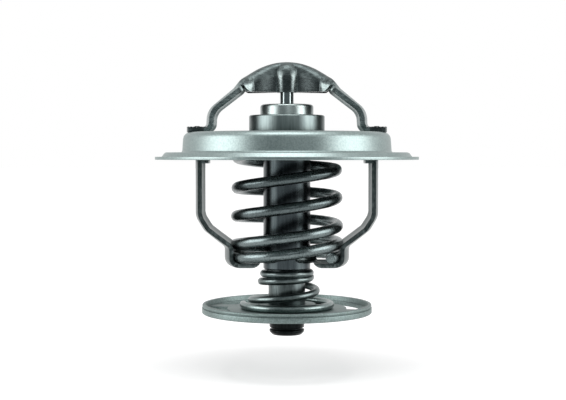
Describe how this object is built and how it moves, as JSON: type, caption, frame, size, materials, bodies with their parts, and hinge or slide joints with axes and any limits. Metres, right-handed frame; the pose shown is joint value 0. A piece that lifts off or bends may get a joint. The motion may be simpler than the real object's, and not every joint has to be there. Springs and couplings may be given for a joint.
{
  "type": "engine thermostat",
  "caption": "Round wax-element coolant thermostat: a flanged cup with an arched bridge above, a sprung valve in a strip yoke, and a sprung windowed bypass disc below.",
  "frame": {"origin": "on the axis, level with the underside of the flange", "axes": "+Z along the axis, towards the bridge; both yokes' arms lie in the XZ plane"},
  "size_m": [0.054, 0.054, 0.056],
  "materials": {
    "flange_steel": "satin",
    "bridge_steel": "satin",
    "frame_steel": "satin",
    "pin_steel": "polished",
    "element_metal": "satin",
    "guide_metal": "satin",
    "spring_steel": "satin",
    "disc_steel": "matte",
    "stud_steel": "satin",
    "valve_steel": "satin",
    "rubber": "matte",
    "wax": "matte",
    "washer_plastic": "matte"
  },
  "bodies": {
    "housing": {"flange_seat": "flange_steel", "bridge": "bridge_steel", "lower_frame": "frame_steel", "piston_pin": "pin_steel", "main_spring": "spring_steel"},
    "element": {"wax_cup": "element_metal", "guide": "guide_metal", "wiper_seal": "rubber", "backup_washer": "washer_plastic", "rubber_sleeve": "rubber", "wax_charge": "wax", "valve_plate": "valve_steel", "valve_seal": "rubber", "bypass_stem": "stud_steel", "retaining_ring": "spring_steel", "bypass_spring": "spring_steel"},
    "bypass_valve": {"bypass_disc": "disc_steel"}
  },
  "joints": [
    {"name": "valve_stroke", "type": "slide", "parent": "housing", "child": "element", "axis": [0, 0, -1], "range_m": [0, 0.008], "stiffness_N_per_m": 5000, "springref_m": -0.008, "deforming": ["main_spring"]},
    {"name": "bypass_slide", "type": "slide", "parent": "element", "child": "bypass_valve", "axis": [0, 0, 1], "range_m": [0, 0.005], "stiffness_N_per_m": 800, "springref_m": -0.004, "deforming": ["bypass_spring"]}
  ]
}
